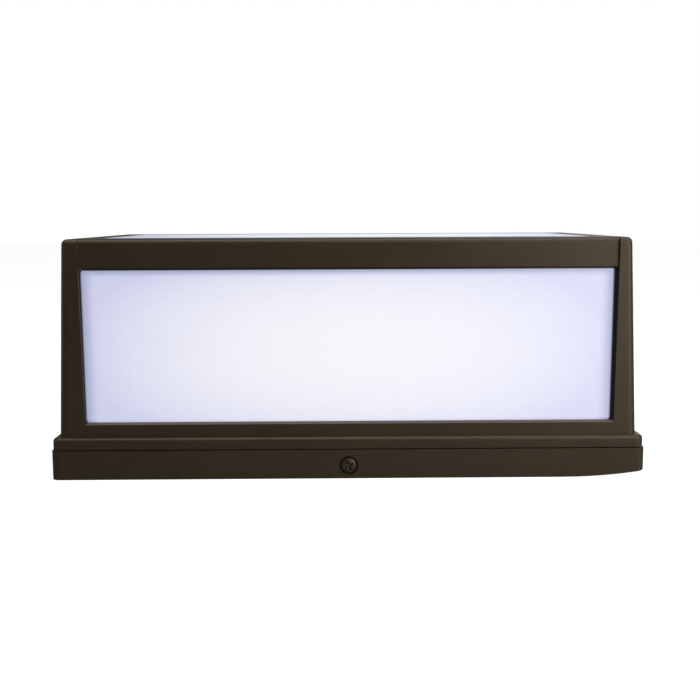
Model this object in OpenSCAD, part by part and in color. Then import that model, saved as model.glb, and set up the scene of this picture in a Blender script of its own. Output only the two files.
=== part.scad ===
// Wall pack light, lying on its wall side.
// The origin is the centre of the wall face, +Z points away from the wall,
// -Y is the lower side once it hangs on a wall, and +Y is the hinged upper side.

/* [Back box] */
// Width of the back box, side to side
box_w = 360; // [320:5:420]
// Height of the back box up the wall
box_d = 210; // [200:5:240]
// Depth of the back box, from the wall to its rim
box_h = 17.6; // [17:0.2:20]
// Thickness of the back box's side walls
box_wall = 3.2; // [2.6:0.1:4]
// Thickness of the back box's floor
box_floor = 3.2; // [2.6:0.1:3.4]
// Radius of the back box's upright corners
box_corner = 5; // [3:0.5:8]
// Length over which the rear rim lifts at one end
relief_len = 50; // [30:5:60]
// How far the rear rim has lifted at that end
relief_rise = 3.8; // [2:0.2:4.4]
// Width of the ledge that carries the seam gasket
ledge_w = 5; // [4.6:0.2:6]
// Thickness of that ledge
ledge_t = 3; // [2:0.2:3.4]

/* [Front housing] */
// How far the front face stands from the wall
front_z = 144.7; // [140:0.5:160]
// Height of the flange that closes on the back box
flange_h = 7; // [6:0.5:9]
// How far the flange stands in from the edge of the back box
flange_inset = 0.7; // [0.4:0.1:1.2]
// Radius along the top edge of the flange
flange_edge = 2.2; // [1:0.2:3]
// How far the side walls start in from the edge of the back box
frame_inset_x = 4.1; // [3.5:0.1:6]
// How far the upper and lower walls start in from the edge of the back box
frame_inset_y = 5.4; // [4.5:0.1:7]
// Draft of the walls, in degrees
draft = 2.05; // [1:0.05:3]
// Thickness of the cast walls
frame_wall = 3; // [2.4:0.1:3.4]
// Radius of the housing's upright corners
frame_corner = 5; // [4:0.5:7]
// Radius of the edge round the front face
frame_edge = 3.5; // [2.5:0.5:4.5]
// Width of a corner post at its foot
post_foot = 15.3; // [15:0.1:18]
// Width of a corner post at the front face
post_top = 8.7; // [8.6:0.1:11]
// How far the posts stand proud of the lower wall at the front face
post_step = 2; // [1:0.2:2.6]

/* [Windows] */
// How far the lower window lies off the middle, towards +X
window_shift = 0.95; // [0:0.05:1]
// How far the lower window's sill stands above the flange
sill_rise = 8.7; // [7:0.1:9]
// How far the lower window's head lies below the front face
head_drop = 17.4; // [16.6:0.1:22]
// Width of the front face's rail beside the lower wall
near_rail = 26; // [24:1:40]
// Width of the front face's rail beside the upper wall
far_rail = 20; // [18:1:30]
// Width of the front face's side rails
side_rail = 17.6; // [15:0.2:30]
// Thickness of the opal lenses
lens_t = 2; // [1.6:0.1:2.2]
// Gap between a lens's raised face and its opening
lens_gap = 1.1; // [0.6:0.1:1.6]
// The same gap at the -X side of the lower opening, where its lens lies close
lens_near_gap = 0.3; // [0.2:0.05:0.6]
// How far the lower lens's face lies behind the wall around it
lens_recess = 2.2; // [1.6:0.1:2.4]
// How far a lens reaches behind the casting
lens_lap = 5; // [4:0.25:5]
// Thickness of the lens gaskets
lens_seal = 1.2; // [0.8:0.1:1.5]
// Thickness of the sheet steel that the lens clips are cut from
clip_t = 1.2; // [0.8:0.1:1.5]
// Width of a lens clip
clip_w = 12; // [10:1:14]
// Length of a lens clip
clip_l = 12; // [11:0.5:14]
// Distance of each of the lower lens's clips from the middle
window_clip_x = 110; // [90:5:120]
// Distance of each of the front lens's clips from the middle
front_clip_x = 60; // [50:5:100]

/* [Seam and hinge] */
// Gap that shows between the back box's rim and the flange
seam_gap = 0.6; // [0.4:0.1:0.9]
// Width of the seam gasket
seal_w = 3.8; // [3:0.1:4]
// Height of the seam gasket
seal_h = 2.6; // [2:0.1:3]
// Radius of the hinge barrels
barrel_r = 5; // [4.5:0.1:5.5]
// How far the hinge axis lies below the back box's rim
hinge_drop = 3.6; // [3.2:0.1:4.2]
// Gap between a barrel and the back box's wall
barrel_gap = 0.4; // [0.3:0.1:0.8]
// Distance of each hinge from the middle
hinge_x = 110; // [90:5:130]
// Radius of a hinge pin
pin_r = 2; // [1.5:0.1:2.4]
// Running clearance of a pin in the housing's barrels
pin_play = 0.06; // [0.03:0.01:0.08]
// Length of the back box's barrel
barrel_len = 18; // [14:1:24]
// Length of each of the housing's barrels
arm_len = 10; // [8:1:14]
// Gap between neighbouring barrels
barrel_end_gap = 0.4; // [0.3:0.1:0.6]

/* [Closing screw] */
// How far the screw's axis lies below the back box's rim
screw_drop = 9.6; // [8.8:0.1:9.6]
// Radius of the screw's shank
screw_r = 2.5; // [2:0.1:2.6]
// Radius of the screw's pan head
screw_head_r = 4.45; // [4.2:0.05:4.8]
// Height of the screw's pan head
screw_head_h = 2.6; // [2.2:0.1:3]
// Radius of the counterbore round the head
counterbore_r = 5.7; // [5.4:0.1:6]
// Depth of that counterbore
counterbore_h = 2.6; // [2.2:0.1:2.8]
// Thickness of the seal under the head
screw_seal_h = 0.8; // [0.5:0.1:1]
// Thickness of the slotted tab that the screw clamps
tab_t = 3; // [2.4:0.2:3.4]
// Half the width of the slotted tab
tab_half = 8; // [7:0.5:9]
// Clearance on each face of the tab
tab_play = 0.35; // [0.3:0.05:0.45]
// Side of the square clamp nut
nut_w = 8; // [8:0.2:9]
// Thickness of the clamp nut
nut_t = 4; // [3:0.2:4.4]
// How far the clamp nut travels when it is backed off
nut_travel = 3.2; // [2.4:0.4:3.2]

/* [Gear tray and light sources] */
// Height of the gear tray's underside above the seam
gear_rise = 12.8; // [12.4:0.1:13]
// Thickness of the gear tray
gear_t = 1.2; // [0.8:0.1:1.2]
// Clearance between the gear tray and the casting
gear_clear = 3.4; // [3:0.2:5]
// Clearance between the gear tray and the lower wall, where the lens passes
gear_near_clear = 7.4; // [7:0.2:9]
// Depth of the gear tray's folded lips
gear_lip = 6; // [4:1:8]
// Height of the bosses that the gear tray is screwed to
gear_boss_h = 12; // [8:1:14]
// Radius of those bosses
gear_boss_r = 5; // [4:0.5:5.5]
// Distance of those bosses from the side walls
gear_boss_side = 9; // [8:0.5:10]
// Distance of those bosses from the upper and lower walls
gear_boss_end = 14.6; // [14:0.2:18]
// Thickness of the reflector sheet
reflector_t = 0.8; // [0.6:0.1:1.2]
// Gap between the reflector and the side posts' inner faces
reflector_gap = 3; // [2:0.5:5]
// Number of light source boards
board_count = 3; // [2:1:3]
// Distance from the gear tray's lower edge to the first board
board_edge_gap = 24.2; // [23.6:0.1:28]
// Gap between a board's ends and the reflector
board_end_gap = 16.1; // [14:0.1:30]
// Width of a board
board_w = 22; // [18:1:26]
// Thickness of a board
board_t = 1.6; // [1:0.1:2]
// Number of light sources on a board
chip_count = 14; // [10:1:16]
// Side of a light source
chip_w = 3.5; // [2.8:0.1:5]
// Height of a light source
chip_h = 0.8; // [0.6:0.1:1]

/* [Driver] */
// Length of the driver's case
driver_l = 160; // [140:5:170]
// Width of the driver's case
driver_w = 44; // [38:1:46]
// Height of the driver's case
driver_h = 23; // [20:0.5:23.5]
// Gap between the closing screw's tip and the driver
driver_gap = 10.5; // [9:0.5:12]
// Length of each end cap
cap_l = 5; // [3:1:8]
// Thickness of the driver's mounting ears
ear_t = 2; // [1.6:0.2:2.4]
// Length of those ears
ear_l = 10; // [9:1:12]
// Radius of an insulated lead
lead_r = 1.3; // [1:0.1:1.5]

/* [Wall side] */
// Radius of the wire entry in the floor
entry_r = 11.1; // [10:0.1:12]
// Radius of the bore through the wire bushing
bushing_bore = 8.5; // [6:0.5:9]
// Distance between the two junction box holes
jbox_spacing = 88.9; // [80:0.1:95]
// Radius of those holes
jbox_r = 2.7; // [2.2:0.1:3]
// Distance between the wall screw holes, side to side
wall_hole_w = 280; // [240:5:290]
// Distance between the wall screw holes, up the wall
wall_hole_d = 150; // [140:5:160]
// Radius of the wall screw holes
wall_hole_r = 3.5; // [3:0.1:4]
// Inner radius of the wall gasket
wall_seal_r = 50; // [48:1:52]
// Width of the wall gasket
wall_seal_w = 6; // [4:0.5:8]
// Depth of the groove that holds it
wall_seal_h = 1.6; // [1:0.1:1.8]

/* [Hidden] */
$fn = 64;

// Overlap that lets a cut run clear of a face, or a rib bite into a wall
bite = 0.8;
// Segments round a rounded corner of a hull
hull_fn = 32;
screw_clear = 0.25;
// Clearance of a screw that bites its own thread
thread_clear = 0.05;

// Back box, worked out
box_hx = box_w / 2;
box_hy = box_d / 2;
box_in_x = box_hx - box_wall;
box_in_y = box_hy - box_wall;
relief_x = box_hx - relief_len;
relief_r = (pow(relief_len, 2) + pow(relief_rise, 2)) / (2 * relief_rise);
flange_z = box_h + seam_gap;
flange_top = flange_z + flange_h;
ledge_z = flange_z - seal_h;
seal_in = 0.6;
ground_at = [62, 48];
ground_boss_r = 5;
ground_boss_h = 5.8;
ground_screw_l = 5;
wall_boss = 3;
wall_boss_h = 2;

// Front housing, worked out
flange_hx = box_hx - flange_inset;
flange_hy = box_hy - flange_inset;
foot_hx = box_hx - frame_inset_x;
foot_hy = box_hy - frame_inset_y;
wall_rise = front_z - flange_top;
lean = wall_rise * tan(draft);
top_hx = foot_hx - lean;
top_hy = foot_hy - lean;
sill_z = flange_top + sill_rise;
head_z = front_z - head_drop;
panel_angle = atan((lean + post_step) / wall_rise);
// How far a wall that leans by an angle has moved in, at a height above the wall face
function leant(angle, z) = tan(angle) * (z - flange_top);
cavity_foot_x = foot_hx - frame_wall / cos(draft);
cavity_foot_y = foot_hy - frame_wall / cos(panel_angle);
cavity_top = front_z - frame_wall;
cavity_corner = 1.5;
// Half the clear width between the posts, at a height above the wall face
function post_x(z) = foot_hx - post_foot
    + (top_hx - post_top - foot_hx + post_foot) * (z - flange_top) / wall_rise;
// Distance up the sloping lower wall, from its foot
function up_panel(z) = (z - flange_top) / cos(panel_angle);

// Front opening, worked out
open_hx = top_hx - side_rail;
open_near = -(top_hy - post_step) + near_rail;
open_far = top_hy - far_rail;
lens_back = frame_wall + lens_seal;
lens_shift = lens_gap - lens_near_gap;
// Radii of the lower opening's upper corners, -X first
window_corners = [3.2, 2];

// Gear tray, worked out
gear_z = flange_z + gear_rise;
gear_top = gear_z + gear_t;
gear_hx = cavity_foot_x - gear_clear;
gear_far = cavity_foot_y - gear_clear;
gear_near = -(cavity_foot_y - gear_near_clear);
gear_boss_x = cavity_foot_x - gear_boss_side;
gear_boss_y = cavity_foot_y - gear_boss_end;
gear_lip_end = gear_boss_x - gear_boss_r - 7;
tray_screw_r = 1.9;
reflector_hx = post_x(gear_top) - reflector_gap;
reflector_in = 7;
reflector_drop = 4.5;
reflector_foot = 9;
reflector_far = gear_far - reflector_in;
reflector_near = gear_near + reflector_in;
reflector_top = front_z - lens_back - lens_t - reflector_drop;
board_z = gear_top + board_t;
board_pitch = 2 * (-gear_near - board_edge_gap - board_w / 2) / (board_count - 1);
board_l = 2 * (reflector_hx - board_end_gap);
board_screw_in = 5;
board_screw_x = board_l / 2 - board_screw_in;
board_screw_r = 1.4;
connector = [9, 7, 4];
connector_in = 16;
connector_x = board_l / 2 - connector_in;
lead_apart = 4.4;
chip_end = 12;

// Hinge, worked out
hinge_y = box_hy + barrel_gap + barrel_r;
hinge_z = box_h - hinge_drop;
pin_head_r = pin_r + 1.4;
pin_head_t = 1.4;
pin_head_gap = 0.2;

// Closing screw, worked out, as distances from the middle of the light
screw_z = box_h - screw_drop;
head_seat = box_hy - counterbore_h;
pad_proud = 0.15;
pad_face = box_in_y - ledge_w - pad_proud;
pad_r = ledge_z - screw_z - 0.2;
tab_outer = pad_face - tab_play;
tab_inner = tab_outer - tab_t;
nut_face = tab_inner - tab_play;
tip_past_nut = 1.2;
screw_tip = nut_face - nut_t - nut_travel - tip_past_nut;
tab_reach = 4.2;
tab_foot = screw_z - tab_reach;
slot_clear = 0.4;
guide_t = 3;
guide_play = 0.2;

// Clips, worked out
clip_screw_r = 1.4;
clip_behind = 3.4;
clip_boss_r = 3.2;
clip_boss_gap = clip_boss_r + 0.5;
window_low = up_panel(sill_z);
window_high = up_panel(head_z);
front_clip_near = open_near - lens_lap - clip_boss_gap;
front_clip_far = open_far + lens_lap + clip_boss_gap;
window_clip_w = [window_low - lens_lap - clip_boss_gap, window_high + lens_lap + clip_boss_gap];
// How far a lens gasket stays in from the lens's edge
gasket_in = 1;

// Screw heads, radius and height
clip_head = [2.8, 1.9];
board_head = [2.7, 1.8];
tray_head = [3.8, 2.4];
ground_head = [4.2, 2.4];

// Driver and leads, worked out
driver_y = screw_tip - driver_gap - driver_w / 2;
driver_z = gear_z - driver_h;
driver_corner = 2;
driver_skin = 2.5;
ear_w = 16;
ear_edge = 5;
driver_screw_x = driver_l / 2 + cap_l + ear_edge;
grommet_bore = 4;
grommet_r = 6;
grommet_rim = 1.4;
grommet_rim_t = 1.2;
grommet_at = [connector_x, gear_near + 11];
lead_bend = 9;
lead_z = flange_z + 3.4;
lead_start = -driver_l / 2 - cap_l;
tip_l = 9;

bronze = [0.22, 0.185, 0.14];
opal = [0.93, 0.93, 0.97];
white_paint = [0.93, 0.93, 0.91];
zinc = [0.72, 0.73, 0.75];
rubber = [0.08, 0.08, 0.08];

// An arc's points, from one angle to another
function arc(c, r, a0, a1, n = 8) =
    [for (i = [0:n]) let (a = a0 + (a1 - a0) * i / n) c + r * [cos(a), sin(a)]];

// A rectangle or trapezoid: one radius for its lower corners, one each for its upper ones, -X first
module trapezoid(x_low, x_high, y_low, y_high, r_low, r_high) {
    ra = r_high[0];
    rb = r_high[1];
    polygon(concat(
        arc([x_low - r_low, y_low + r_low], r_low, -90, 0),
        arc([x_high - rb, y_high - rb], rb, 0, 90),
        arc([-x_high + ra, y_high - ra], ra, 90, 180),
        arc([-x_low + r_low, y_low + r_low], r_low, 180, 270)));
}

// A plate with round upright corners
module plate(hx, hy, r, z0, z1) {
    translate([0, 0, z0]) linear_extrude(z1 - z0) {
        square([2 * hx, 2 * (hy - r)], center = true);
        square([2 * (hx - r), 2 * hy], center = true);
        for (x = [-1, 1], y = [-1, 1]) translate([x * (hx - r), y * (hy - r)]) circle(r);
    }
}

// A block between two corners
module block(a, b) { translate(a) cube(b - a); }

// Its children at the foot of the lower wall, leaning with it: y is depth, z runs up the wall
module on_panel() {
    translate([window_shift, -foot_hy, flange_top]) rotate([-panel_angle, 0, 0]) children();
}

// A flat outline stood up, from one depth to another
module upright(v0, v1) { rotate([90, 0, 0]) translate([0, 0, -v1]) linear_extrude(v1 - v0) children(); }

// A cylinder along +Y or along +X
module rod_y(x, z, r, y0, y1) { translate([x, y0, z]) rotate([-90, 0, 0]) cylinder(r = r, h = y1 - y0); }
module rod_x(y, z, r, x0, x1) { translate([x0, y, z]) rotate([0, 90, 0]) cylinder(r = r, h = x1 - x0); }

// The lifting rear face: flat, then an arc that rises at the +X end
module rear_profile(inset) {
    translate([-2 * box_w, inset]) square([2 * box_w + relief_x, 2 * box_w]);
    translate([relief_x, relief_r]) circle(relief_r - inset, $fn = 256);
}
module above_rear(inset) {
    translate([0, box_d, 0]) rotate([90, 0, 0]) linear_extrude(2 * box_d) rear_profile(inset);
}

// A pan head with a domed top, standing on z = 0, and its cross recess
module pan_head(r, h, slot_l) {
    difference() {
        union() {
            cylinder(r = r, h = h * 0.55);
            translate([0, 0, h * 0.55]) intersection() {
                dome_r = (pow(r, 2) + pow(h * 0.45, 2)) / (0.9 * h);
                translate([0, 0, h * 0.45 - dome_r]) sphere(dome_r);
                cylinder(r = r, h = h);
            }
        }
        for (a = [0, 90]) rotate([0, 0, a]) translate([-slot_l / 2, -0.11 * slot_l, h * 0.45])
            cube([slot_l, 0.22 * slot_l, h]);
    }
}

// A pan-headed screw: its head stands up from z = 0 and its shank goes down
module pan_screw(r, length, head_r, head_h) {
    pan_head(head_r, head_h, head_r * 1.15);
    translate([0, 0, -length]) cylinder(r = r, h = length + head_h * 0.3);
}

// A round tube of eight sides along a route, after one pass of corner cutting
function cut_corners(p) = concat([p[0]],
    [for (i = [0:len(p) - 2]) each [p[i] * 0.75 + p[i + 1] * 0.25, p[i] * 0.25 + p[i + 1] * 0.75]],
    [p[len(p) - 1]]);
function unit(v) = v / norm(v);
function heading(p, i) = unit(p[min(i + 1, len(p) - 1)] - p[max(i - 1, 0)]);
function ring(p, i, r, ref) = let (t = heading(p, i), a = unit(cross(ref, t)), b = cross(t, a))
    [for (k = [0:7]) p[i] + r * (cos(45 * k) * a + sin(45 * k) * b)];
module lead(route, r, ref) {
    p = cut_corners(route);
    n = len(p);
    polyhedron(
        points = [for (i = [0:n - 1]) each ring(p, i, r, ref)],
        faces = concat(
            [[for (k = [0:7]) k]],
            [for (i = [0:n - 2], k = [0:7]) [i * 8 + k, i * 8 + 8 + k, i * 8 + 8 + (k + 1) % 8]],
            [for (i = [0:n - 2], k = [0:7]) [i * 8 + k, i * 8 + 8 + (k + 1) % 8, i * 8 + (k + 1) % 8]],
            [[for (k = [7:-1:0]) (n - 1) * 8 + k]]));
}

// Back box: floor, walls, gasket ledge, barrels and the closing screw's pad
module back_box() {
    color(bronze) difference() {
        union() {
            intersection() {
                plate(box_hx, box_hy, box_corner, 0, box_h);
                above_rear(0);
            }
            for (s = [-1, 1]) box_barrel(s * hinge_x);
        }
        difference() {
            intersection() {
                plate(box_in_x, box_in_y, box_corner - box_wall, box_floor, box_h + bite);
                above_rear(box_floor);
            }
            difference() {
                plate(box_hx - bite, box_hy - bite, box_corner, ledge_z - ledge_t, ledge_z);
                plate(box_in_x - ledge_w, box_in_y - ledge_w, 2, ledge_z - ledge_t - bite, ledge_z + bite);
            }
            rod_y(0, screw_z, pad_r, -box_hy + bite, -pad_face);
            for (s = [-1, 1]) nut_guide(s);
            wall_seal_ring(wall_seal_r - 1.5, wall_seal_w + 3, box_floor - bite, box_floor + wall_seal_h);
            translate([ground_at[0], ground_at[1], box_floor - bite])
                cylinder(r = ground_boss_r, h = ground_boss_h + bite);
            for (x = [-1, 1], y = [-1, 1])
                translate([x * wall_hole_w / 2, y * wall_hole_d / 2, box_floor - bite])
                    cylinder(r = wall_hole_r + wall_boss, h = wall_boss_h + bite);
        }
        wall_seal_ring(wall_seal_r, wall_seal_w, -bite, wall_seal_h);
        translate([0, 0, -bite]) cylinder(r = entry_r, h = box_floor + 2 * bite);
        for (s = [-1, 1]) translate([s * jbox_spacing / 2, 0, -bite]) cylinder(r = jbox_r, h = 2 * box_floor);
        for (x = [-1, 1], y = [-1, 1]) translate([x * wall_hole_w / 2, y * wall_hole_d / 2, -bite])
            cylinder(r = wall_hole_r, h = 3 * box_floor);
        rod_y(0, screw_z, screw_r + screw_clear, -box_hy - bite, -pad_face + bite);
        rod_y(0, screw_z, counterbore_r, -box_hy - bite, -head_seat);
        for (s = [-1, 1]) rod_x(hinge_y, hinge_z, pin_r, s * hinge_x - barrel_len, s * hinge_x + barrel_len);
        translate([ground_at[0], ground_at[1], box_floor])
            cylinder(r = tray_screw_r, h = ground_boss_h + bite);
    }
}
module box_barrel(x) {
    translate([x - barrel_len / 2, 0, 0]) rotate([90, 0, 90]) linear_extrude(barrel_len) {
        polygon([[box_hy - bite, hinge_z - barrel_r - 0.5], [hinge_y, hinge_z - barrel_r],
            [hinge_y, box_h - 0.4], [box_hy - bite, box_h - 0.4]]);
        translate([hinge_y, hinge_z]) circle(barrel_r);
    }
}
module nut_guide(s) {
    inner = nut_w / 2 + guide_play;
    block([s > 0 ? inner : -inner - guide_t, -nut_face, box_floor - bite],
        [s > 0 ? inner + guide_t : -inner, -screw_tip + guide_t, screw_z + nut_w / 2]);
}
module wall_seal_ring(r, w, z0, z1) {
    translate([0, 0, z0]) difference() {
        cylinder(r = r + w, h = z1 - z0, $fn = 128);
        translate([0, 0, -bite]) cylinder(r = r, h = z1 - z0 + 2 * bite, $fn = 128);
    }
}

// Foam gasket that seals the back box to the wall round the junction box
module wall_gasket() { color(rubber) wall_seal_ring(wall_seal_r, wall_seal_w, 0, wall_seal_h); }

// Rubber bushing in the wire entry
module wire_bushing() {
    color(rubber) difference() {
        union() {
            cylinder(r = entry_r, h = box_floor);
            translate([0, 0, box_floor]) cylinder(r = entry_r + 3, h = 1.6);
        }
        translate([0, 0, -bite]) cylinder(r = bushing_bore, h = box_floor + 4);
    }
}

// Silicone gasket that lies on the ledge, under the flange
module seam_gasket() {
    color(rubber) difference() {
        plate(box_in_x - seal_in, box_in_y - seal_in, 4, ledge_z, flange_z);
        plate(box_in_x - seal_in - seal_w, box_in_y - seal_in - seal_w, 2, ledge_z - bite, flange_z + bite);
    }
}

// Two hinge pins, pressed into the back box's barrels
module hinge_pins() {
    reach = barrel_len / 2 + barrel_end_gap + arm_len;
    head = reach + pin_head_gap;
    color(zinc) for (s = [-1, 1]) translate([s * hinge_x, 0, 0]) {
        rod_x(hinge_y, hinge_z, pin_r, s > 0 ? -reach : -head - bite, s > 0 ? head + bite : reach);
        rod_x(hinge_y, hinge_z, pin_head_r, s > 0 ? head : -head - pin_head_t,
            s > 0 ? head + pin_head_t : -head);
    }
}

// Green grounding screw on its boss
module ground_screw() {
    color([0.1, 0.45, 0.2]) translate([ground_at[0], ground_at[1], box_floor + ground_boss_h])
        pan_screw(tray_screw_r, ground_screw_l, ground_head[0], ground_head[1]);
}

// Seal under the head of the closing screw
module screw_seal() {
    color(rubber) difference() {
        rod_y(0, screw_z, screw_head_r + 0.4, -head_seat - screw_seal_h, -head_seat);
        rod_y(0, screw_z, screw_r + screw_clear, -box_hy - bite, -head_seat + bite);
    }
}

// Closing screw: a pan head with a cross recess, and a shank that reaches the clamp nut
module captive_screw() {
    color(bronze) translate([0, -head_seat - screw_seal_h, screw_z]) rotate([90, 0, 0])
        pan_screw(screw_r, head_seat + screw_seal_h - screw_tip, screw_head_r, screw_head_h);
}

// Square nut that the screw draws against the tab
module clamp_nut() {
    color(zinc) difference() {
        block([-nut_w / 2, -nut_face, screw_z - nut_w / 2],
            [nut_w / 2, -nut_face + nut_t, screw_z + nut_w / 2]);
        rod_y(0, screw_z, screw_r + thread_clear, -nut_face - bite, -nut_face + nut_t + bite);
    }
}

// Front housing: flange, drafted walls, proud corner posts, two window openings
module front_housing() {
    color(bronze) difference() {
        union() {
            difference() {
                union() {
                    flange_form();
                    wall_form();
                    for (s = [-1, 1]) post_form(s);
                }
                cavity_form();
                on_panel() upright(-lean - bite, frame_wall + bite) trapezoid(post_x(sill_z), post_x(head_z),
                    window_low, window_high, 0.6, window_corners);
                translate([0, (open_near + open_far) / 2, cavity_top - bite])
                    linear_extrude(frame_wall + 2 * bite) trapezoid(open_hx, open_hx,
                        (open_near - open_far) / 2, (open_far - open_near) / 2, 4, [4, 4]);
            }
            for (x = [-1, 1], y = [-1, 1]) gear_boss(x, y);
            on_panel() for (x = [-1, 1], w = window_clip_w) rod_y(x * window_clip_x, w, clip_boss_r,
                frame_wall - bite, lens_back + lens_t);
            for (x = [-1, 1], y = [front_clip_near, front_clip_far])
                translate([x * front_clip_x, y, front_z - lens_back - lens_t])
                    cylinder(r = clip_boss_r, h = lens_back + lens_t - frame_wall + bite);
            lock_tab();
            for (s = [-1, 1], t = [-1, 1]) housing_barrel(s * hinge_x, t);
        }
        for (x = [-1, 1], y = [-1, 1]) translate([x * gear_boss_x, y * gear_boss_y, gear_top - bite])
            cylinder(r = tray_screw_r + thread_clear, h = gear_boss_h - 2);
        on_panel() for (x = [-1, 1], w = window_clip_w)
            rod_y(x * window_clip_x, w, clip_screw_r + thread_clear,
                frame_wall - bite, lens_back + lens_t + bite);
        for (x = [-1, 1], y = [front_clip_near, front_clip_far])
            translate([x * front_clip_x, y, front_z - lens_back - lens_t - bite])
                cylinder(r = clip_screw_r + thread_clear, h = lens_back + lens_t - frame_wall + 2 * bite);
        for (s = [-1, 1]) rod_x(hinge_y, hinge_z, pin_r + pin_play, s * hinge_x - 2 * barrel_len,
            s * hinge_x + 2 * barrel_len);
    }
}
module flange_form() {
    r = frame_corner;
    hull() for (x = [-1, 1], y = [-1, 1]) translate([x * (flange_hx - r), y * (flange_hy - r), 0]) {
        translate([0, 0, flange_z]) cylinder(r = r, h = flange_h - flange_edge, $fn = hull_fn);
        for (a = [22.5, 45, 67.5, 90]) translate([0, 0, flange_top - flange_edge])
            cylinder(r = r - flange_edge + flange_edge * cos(a), h = flange_edge * sin(a), $fn = hull_fn);
    }
}
// Distance from a wall's foot in to the centre of the edge that rounds it off above
function edge_in(angle) = leant(angle, front_z - frame_edge) + frame_edge / cos(angle);
module wall_form() {
    r = frame_corner;
    hull() for (x = [-1, 1], y = [-1, 1]) {
        translate([x * (foot_hx - r), y * (foot_hy - r), flange_z])
            cylinder(r = r, h = flange_h, $fn = hull_fn);
        translate([x * (foot_hx - edge_in(draft)), y * (foot_hy - edge_in(y < 0 ? panel_angle : draft)),
            front_z - frame_edge]) sphere(frame_edge, $fn = hull_fn);
    }
}
module post_form(s) {
    r = frame_corner;
    e = frame_edge;
    back = 12;
    foot_in = post_x(flange_top) + s * window_shift;
    top_in = post_x(front_z) + s * window_shift;
    edge_x = foot_hx - edge_in(draft);
    edge_y = foot_hy - edge_in(draft);
    hull() {
        translate([s * (foot_hx - r), -(foot_hy - r), flange_z]) cylinder(r = r, h = flange_h, $fn = hull_fn);
        block([s > 0 ? foot_in : -foot_in - 2, -foot_hy, flange_z],
            [s > 0 ? foot_in + 2 : -foot_in, -foot_hy + back, flange_top]);
        translate([s * edge_x, -edge_y, front_z - e]) sphere(e, $fn = hull_fn);
        translate([s > 0 ? top_in : -edge_x, -edge_y, front_z - e]) rotate([0, 90, 0])
            cylinder(r = e, h = edge_x - top_in, $fn = hull_fn);
        block([s > 0 ? top_in : -edge_x, -edge_y, front_z - e],
            [s > 0 ? edge_x : -top_in, -edge_y + back, front_z]);
    }
}
module cavity_form() {
    r = cavity_corner;
    hull() for (x = [-1, 1], y = [-1, 1]) {
        angle = y < 0 ? panel_angle : draft;
        translate([x * (cavity_foot_x - r), y * (foot_hy - frame_wall / cos(angle) - r), flange_z - bite])
            cylinder(r = r, h = flange_h + bite, $fn = hull_fn);
        translate([x * (cavity_foot_x - leant(draft, cavity_top) - r),
            y * (foot_hy - frame_wall / cos(angle) - leant(angle, cavity_top) - r), cavity_top - 0.01])
            cylinder(r = r, h = 0.01, $fn = hull_fn);
    }
}
module gear_boss(x, y) {
    translate([x * gear_boss_x, y * gear_boss_y, gear_top]) cylinder(r = gear_boss_r, h = gear_boss_h);
    reach = cavity_foot_x + bite;
    block([x > 0 ? gear_boss_x : -reach, y * gear_boss_y - gear_boss_r, gear_top],
        [x > 0 ? reach : -gear_boss_x, y * gear_boss_y + gear_boss_r, gear_top + gear_boss_h]);
}
module lock_tab() {
    difference() {
        union() {
            block([-tab_half, -tab_outer, tab_foot], [tab_half, -tab_inner, flange_top + 1]);
            block([-tab_half, -cavity_foot_y - bite, flange_z], [tab_half, -tab_inner, flange_top + 1]);
        }
        rod_y(0, screw_z, screw_r + slot_clear, -tab_outer - bite, -tab_inner + bite);
        block([-screw_r - slot_clear, -tab_outer - bite, tab_foot - bite],
            [screw_r + slot_clear, -tab_inner + bite, screw_z]);
    }
}
module housing_barrel(x, t) {
    near_end = x + t * (barrel_len / 2 + barrel_end_gap);
    translate([t > 0 ? near_end : near_end - arm_len, 0, 0]) rotate([90, 0, 90]) linear_extrude(arm_len) {
        wall_y = box_hy + barrel_gap;
        polygon([[cavity_foot_y + 1, flange_z], [wall_y + 0.1, flange_z], [wall_y + 0.1, hinge_z],
            [hinge_y, hinge_z], [hinge_y + barrel_r, hinge_z],
            [hinge_y + barrel_r * 0.7, hinge_z + barrel_r * 0.9],
            [flange_hy + 1, flange_top - flange_edge], [cavity_foot_y + 1, flange_top - flange_edge]]);
        translate([hinge_y, hinge_z]) circle(barrel_r);
    }
}

// Lower window: an opal lens whose raised face fills the opening
module window_outline(grow, r_low, r_high) {
    trapezoid(post_x(sill_z) + grow, post_x(head_z) + grow, window_low - grow, window_high + grow,
        r_low, r_high);
}
module window_lens() {
    color(opal) on_panel() difference() {
        union() {
            upright(lens_recess, lens_back + lens_t) translate([-lens_shift, 0])
                window_outline(-lens_gap, 0.4, [3, 1.4]);
            upright(lens_back, lens_back + lens_t) window_outline(lens_lap, 2, [2, 2]);
        }
        upright(lens_recess + lens_t, lens_back + lens_t + bite) translate([-lens_shift, 0])
            window_outline(-lens_gap - lens_t, 0.4, [1, 0.4]);
    }
}
module window_gasket() {
    color(rubber) on_panel() difference() {
        upright(frame_wall, lens_back) window_outline(lens_lap - gasket_in, 2, [2, 2]);
        upright(frame_wall - bite, lens_back + bite) window_outline(gasket_in, 0.4, window_corners);
    }
}
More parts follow.
